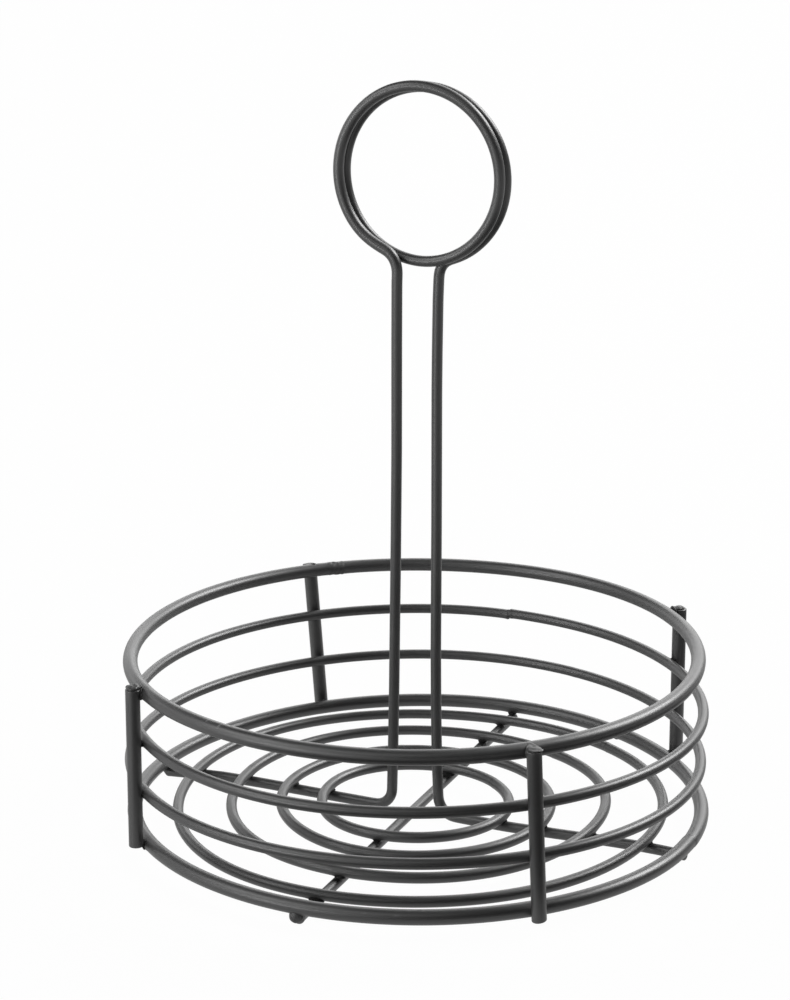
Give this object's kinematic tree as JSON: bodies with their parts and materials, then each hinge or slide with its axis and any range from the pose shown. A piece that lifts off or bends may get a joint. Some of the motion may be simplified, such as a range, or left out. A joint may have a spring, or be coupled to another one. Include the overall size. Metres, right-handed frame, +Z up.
{
  "type": "condiment rack",
  "caption": "Round open basket of welded wire with a floor of concentric wire rings and a tall central handle bent into a coiled loop, for holding and carrying condiments at table.",
  "frame": {"origin": "on the table, on the axis of the basket", "axes": "+Z up along the basket's axis; the handle's feet run along X and the cross wire runs along Y, with the first turn of the handle's loop on the -Y side"},
  "size_m": [0.19, 0.19, 0.2443],
  "materials": {
    "wire_coat": "satin black powder coat on steel wire",
    "weld_coat": "satin black powder coat over rough weld beads"
  },
  "bodies": {
    "root": {"base_ring": "wire_coat", "cross_wire": "wire_coat", "floor_ring_1": "wire_coat", "floor_ring_2": "wire_coat", "floor_ring_3": "wire_coat", "floor_ring_4": "wire_coat", "handle_wire": "wire_coat", "hoop_1": "wire_coat", "hoop_2": "wire_coat", "post_back_left": "wire_coat", "post_back_right": "wire_coat", "post_front_left": "wire_coat", "post_front_right": "wire_coat", "rim_ring": "wire_coat", "weld_base_ring_back_left": "weld_coat", "weld_base_ring_back_right": "weld_coat", "weld_base_ring_cross_back": "weld_coat", "weld_base_ring_cross_front": "weld_coat", "weld_base_ring_front_left": "weld_coat", "weld_base_ring_front_right": "weld_coat", "weld_base_ring_left_foot": "weld_coat", "weld_base_ring_right_foot": "weld_coat", "weld_floor_ring_1_cross_back": "weld_coat", "weld_floor_ring_1_cross_front": "weld_coat", "weld_floor_ring_1_left_foot": "weld_coat", "weld_floor_ring_1_right_foot": "weld_coat", "weld_floor_ring_2_cross_back": "weld_coat", "weld_floor_ring_2_cross_front": "weld_coat", "weld_floor_ring_2_left_foot": "weld_coat", "weld_floor_ring_2_right_foot": "weld_coat", "weld_floor_ring_3_cross_back": "weld_coat", "weld_floor_ring_3_cross_front": "weld_coat", "weld_floor_ring_3_left_foot": "weld_coat", "weld_floor_ring_3_right_foot": "weld_coat", "weld_floor_ring_4_cross_back": "weld_coat", "weld_floor_ring_4_cross_front": "weld_coat", "weld_floor_ring_4_left_foot": "weld_coat", "weld_floor_ring_4_right_foot": "weld_coat", "weld_hoop_1_back_left": "weld_coat", "weld_hoop_1_back_right": "weld_coat", "weld_hoop_1_front_left": "weld_coat", "weld_hoop_1_front_right": "weld_coat", "weld_hoop_2_back_left": "weld_coat", "weld_hoop_2_back_right": "weld_coat", "weld_hoop_2_front_left": "weld_coat", "weld_hoop_2_front_right": "weld_coat", "weld_rim_ring_back_left": "weld_coat", "weld_rim_ring_back_right": "weld_coat", "weld_rim_ring_front_left": "weld_coat", "weld_rim_ring_front_right": "weld_coat"}
  },
  "joints": []
}
